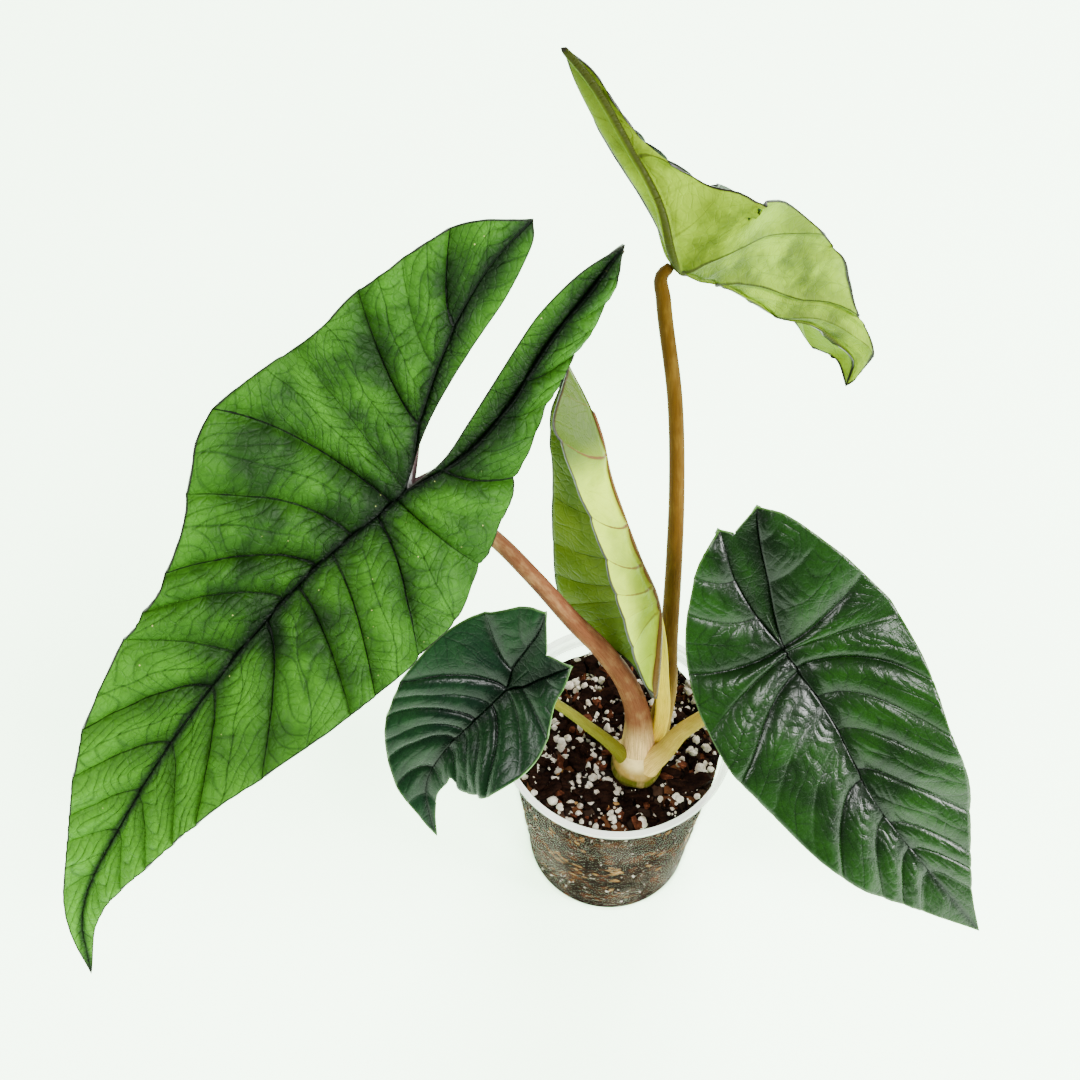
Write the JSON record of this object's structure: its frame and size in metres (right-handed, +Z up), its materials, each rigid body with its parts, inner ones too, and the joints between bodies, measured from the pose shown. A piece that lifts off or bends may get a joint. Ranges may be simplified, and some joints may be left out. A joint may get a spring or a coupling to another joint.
{
  "type": "potted aroid house plant",
  "caption": "Alocasia house plant with five sagittate quilted leaves on arching petioles, growing in bark mix in a clear tapered nursery pot",
  "frame": {"origin": "middle of the pot's flat base, on the surface that it stands on", "axes": "+Z up along the pot's axis; +X towards the right-hand leaf; +Y towards the tall leaf that leans back, -Y the side that is seen from the front"},
  "size_m": [0.3725, 0.2654, 0.3621],
  "materials": {
    "pot": "clear, thin, slightly hazy",
    "soil": "matte bark mix with white grains",
    "stem": "satin",
    "young_leaf_petiole": "satin",
    "young_leaf_blade": "satin, slightly translucent",
    "tall_leaf_petiole": "satin",
    "tall_leaf_blade": "satin underside, dark glossy upper side",
    "big_leaf_petiole": "satin",
    "big_leaf_blade": "satin with dark veins",
    "right_leaf_petiole": "satin",
    "right_leaf_blade": "glossy, dark",
    "small_leaf_petiole": "satin",
    "small_leaf_blade": "glossy, blue-green"
  },
  "bodies": {
    "root": {"pot": "pot", "soil": "soil", "stem": "stem", "young_leaf_petiole": "young_leaf_petiole", "young_leaf_blade": "young_leaf_blade", "tall_leaf_petiole": "tall_leaf_petiole", "tall_leaf_blade": "tall_leaf_blade", "big_leaf_petiole": "big_leaf_petiole", "big_leaf_blade": "big_leaf_blade", "right_leaf_petiole": "right_leaf_petiole", "right_leaf_blade": "right_leaf_blade", "small_leaf_petiole": "small_leaf_petiole", "small_leaf_blade": "small_leaf_blade"}
  },
  "joints": []
}
